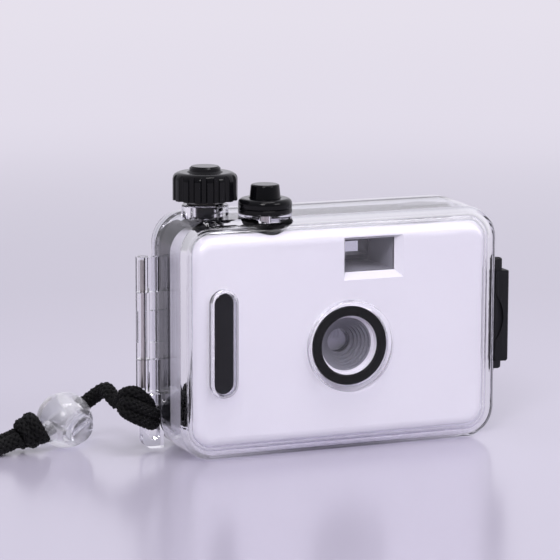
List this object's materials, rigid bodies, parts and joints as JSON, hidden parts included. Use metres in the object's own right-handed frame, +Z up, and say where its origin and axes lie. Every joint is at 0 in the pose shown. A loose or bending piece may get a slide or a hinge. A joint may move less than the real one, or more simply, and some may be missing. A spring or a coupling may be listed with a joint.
{
  "type": "film camera",
  "caption": "Compact film camera in a hinged clear diving case with winding knob, shutter button, side latch and a braided wrist strap with toggle.",
  "frame": {"origin": "centre of the case on its flat underside", "axes": "+X to the viewer's right seen from the lens side, +Y towards the back door, +Z up"},
  "size_m": [0.2607, 0.0688, 0.0941],
  "materials": {
    "clear_case": "clear polycarbonate",
    "black_rubber": "matte",
    "steel": "satin",
    "black_gloss": "satin gloss",
    "black_matte": "fine texture",
    "white_gloss": "gloss",
    "grey_matte": "matte",
    "lens_glass": "polished",
    "clear_toggle": "clear plastic",
    "black_cord": "braided"
  },
  "bodies": {
    "case": {"front_shell": "clear_case", "hinge_pin": "steel", "latch_base": "black_gloss", "latch_pin": "steel", "shaft_gland": "black_gloss", "shaft_seal": "black_rubber", "shutter_collar": "black_gloss", "plunger_spring": "steel", "plunger_seal": "black_rubber", "front_cover": "white_gloss", "main_frame": "black_matte", "door_hinge_pin": "steel", "lens_ring": "black_gloss", "lens_cone": "grey_matte", "front_lens": "lens_glass", "rear_lens": "lens_glass", "shutter_plate": "black_matte", "viewfinder_front": "lens_glass", "viewfinder_tunnel": "black_matte", "eyepiece": "lens_glass", "grip_bar": "black_gloss", "cover_screws": "steel", "board_screws": "steel", "toggle_body": "clear_toggle", "toggle_spring": "steel", "strap_hitch": "black_cord", "strap_cord": "black_cord", "strap_knot": "black_cord", "wrist_loop": "black_cord"},
    "rear": {"rear_shell": "clear_case", "shell_gasket": "black_rubber"},
    "latch": {"latch_lever": "black_gloss"},
    "winder": {"wind_knob": "black_gloss", "knob_cap": "black_gloss", "wind_shaft": "steel"},
    "spool": {"take_up_spool": "black_matte", "advance_dial": "black_matte", "spool_gear": "white_gloss"},
    "idler": {"idler_gear": "white_gloss"},
    "film_wheel": {"sprocket": "black_matte", "sprocket_gear": "white_gloss"},
    "counter": {"counter_dial": "white_gloss"},
    "case_button": {"shutter_cap": "black_gloss", "shutter_plunger": "steel"},
    "camera_key": {"camera_button": "black_gloss"},
    "release": {"release_lever": "black_matte"},
    "blade": {"shutter_blade": "steel"},
    "door": {"back_door": "black_matte", "plate_spring": "steel"},
    "film_plate": {"pressure_plate": "black_matte"},
    "catch": {"door_catch": "black_matte"},
    "rewind": {"rewind_knob": "black_gloss", "rewind_handle": "black_gloss", "rewind_fork": "black_matte"},
    "toggle_key": {"toggle_plunger": "clear_toggle"}
  },
  "joints": [
    {"name": "case_hinge", "type": "hinge", "parent": "case", "child": "rear", "pos_m": [-0.0608, 0.007, 0], "axis": [0, 0, 1], "range_deg": [0, 70]},
    {"name": "latch_pivot", "type": "hinge", "parent": "case", "child": "latch", "pos_m": [0.0587, -0.0104, 0.04], "axis": [0, 0, -1], "range_deg": [0, 70]},
    {"name": "wind_turn", "type": "hinge", "parent": "case", "child": "winder", "pos_m": [-0.0421, -0.001, 0.085], "axis": [0, 0, 1], "continuous": true},
    {"name": "spool_turn", "type": "hinge", "parent": "case", "child": "spool", "pos_m": [-0.0421, -0.001, 0.04], "axis": [0, 0, 1], "continuous": true},
    {"name": "idler_turn", "type": "hinge", "parent": "case", "child": "idler", "pos_m": [-0.0341, 0.00156, 0.069], "axis": [0, 0, 1], "continuous": true},
    {"name": "film_wheel_turn", "type": "hinge", "parent": "case", "child": "film_wheel", "pos_m": [-0.0261, 0.00412, 0.035], "axis": [0, 0, 1], "continuous": true},
    {"name": "counter_turn", "type": "hinge", "parent": "case", "child": "counter", "pos_m": [-0.022, 0.0064, 0.074], "axis": [0, 0, 1], "continuous": true},
    {"name": "shutter_press", "type": "slide", "parent": "case", "child": "case_button", "axis": [0, 0, -1], "range_m": [0, 0.0022], "stiffness_N_per_m": 400, "deforming": ["plunger_spring"]},
    {"name": "camera_key_press", "type": "slide", "parent": "case", "child": "camera_key", "axis": [0, 0, -1], "range_m": [0, 0.0024]},
    {"name": "release_turn", "type": "hinge", "parent": "case", "child": "release", "pos_m": [-0.0134, -0.008, 0.0611], "axis": [0, -1, 0], "range_deg": [0, 13.5]},
    {"name": "blade_turn", "type": "hinge", "parent": "case", "child": "blade", "pos_m": [-0.0035, -0.0065, 0.0464], "axis": [0, 1, 0], "range_deg": [0, 24]},
    {"name": "camera_door_hinge", "type": "hinge", "parent": "case", "child": "door", "pos_m": [-0.0514, 0.0129, 0.03], "axis": [0, 0, 1], "range_deg": [0, 90]},
    {"name": "plate_float", "type": "slide", "parent": "door", "child": "film_plate", "axis": [0, 1, 0], "range_m": [0, 0.0003], "stiffness_N_per_m": 800, "deforming": ["plate_spring"]},
    {"name": "catch_slide", "type": "slide", "parent": "case", "child": "catch", "axis": [0, 0, 1], "range_m": [0, 0.0025]},
    {"name": "rewind_turn", "type": "hinge", "parent": "case", "child": "rewind", "pos_m": [0.036, -0.0013, 0.07], "axis": [0, 0, 1], "continuous": true},
    {"name": "toggle_press", "type": "slide", "parent": "case", "child": "toggle_key", "axis": [-0.3882, 0.8982, 0.2063], "range_m": [0, 0.0019], "stiffness_N_per_m": 500, "deforming": ["toggle_spring"]}
  ],
  "couplings": [
    {"joint": "spool_turn", "follows": "wind_turn", "ratio": 1},
    {"joint": "idler_turn", "follows": "wind_turn", "ratio": -2},
    {"joint": "film_wheel_turn", "follows": "wind_turn", "ratio": 1},
    {"joint": "counter_turn", "follows": "wind_turn", "ratio": 0.02},
    {"joint": "camera_key_press", "follows": "shutter_press", "ratio": 1},
    {"joint": "release_turn", "follows": "shutter_press", "rad_per_m": 100},
    {"joint": "blade_turn", "follows": "shutter_press", "rad_per_m": 180},
    {"joint": "camera_door_hinge", "follows": "case_hinge", "ratio": 0.8}
  ]
}
